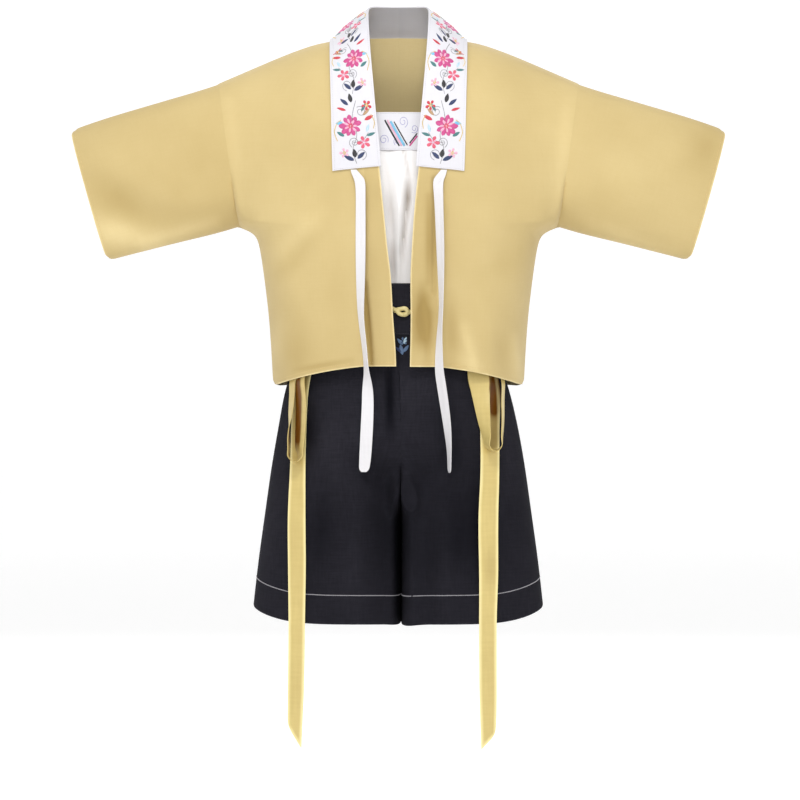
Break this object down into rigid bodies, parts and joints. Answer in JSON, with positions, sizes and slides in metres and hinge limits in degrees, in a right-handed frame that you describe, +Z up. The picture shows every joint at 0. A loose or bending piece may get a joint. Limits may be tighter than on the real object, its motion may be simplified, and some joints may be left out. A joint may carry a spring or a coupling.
{
  "type": "hanfu",
  "caption": "Modern hanfu set: open jacket with wide sleeves, turned-up collar and ties, over a gathered camisole and wide shorts with a ribbon belt.",
  "frame": {"origin": "centre of the neck's base, level with the shoulders that hold the jacket", "axes": "+Z up along the wearer's spine, front faces -Y, +X to the wearer's left"},
  "size_m": [0.982, 0.2647, 1.1042],
  "materials": {
    "jacket_cloth": "golden khaki plain weave, dull",
    "collar_cloth": "white plain cotton, dull",
    "camisole_cloth": "white fine cotton, dull",
    "shorts_cloth": "near-black navy twill, dull",
    "ribbon_satin": "yellow satin, soft sheen"
  },
  "bodies": {
    "root": {"jacket_front_left": "jacket_cloth", "jacket_front_right": "jacket_cloth", "front_band_left": "jacket_cloth", "front_band_right": "jacket_cloth", "jacket_back_left": "jacket_cloth", "jacket_back_right": "jacket_cloth", "sleeve_left": "jacket_cloth", "sleeve_right": "jacket_cloth", "collar_left": "collar_cloth", "collar_right": "collar_cloth", "tie_left": "collar_cloth", "tie_right": "collar_cloth", "camisole_band_front": "camisole_cloth", "camisole_band_back": "camisole_cloth", "camisole_front": "camisole_cloth", "camisole_back": "camisole_cloth", "waistband_front": "shorts_cloth", "waistband_back": "shorts_cloth", "shorts_front_left": "shorts_cloth", "shorts_front_right": "shorts_cloth", "shorts_back_left": "shorts_cloth", "shorts_back_right": "shorts_cloth", "belt_front_left": "ribbon_satin", "belt_front_right": "ribbon_satin", "belt_back": "ribbon_satin", "belt_knot_left": "ribbon_satin", "belt_knot_right": "ribbon_satin", "bow_knot_left": "ribbon_satin", "bow_knot_right": "ribbon_satin", "bow_loop_left": "ribbon_satin", "bow_loop_right": "ribbon_satin", "ribbon_tail_left": "ribbon_satin", "ribbon_tail_right": "ribbon_satin"}
  },
  "joints": []
}
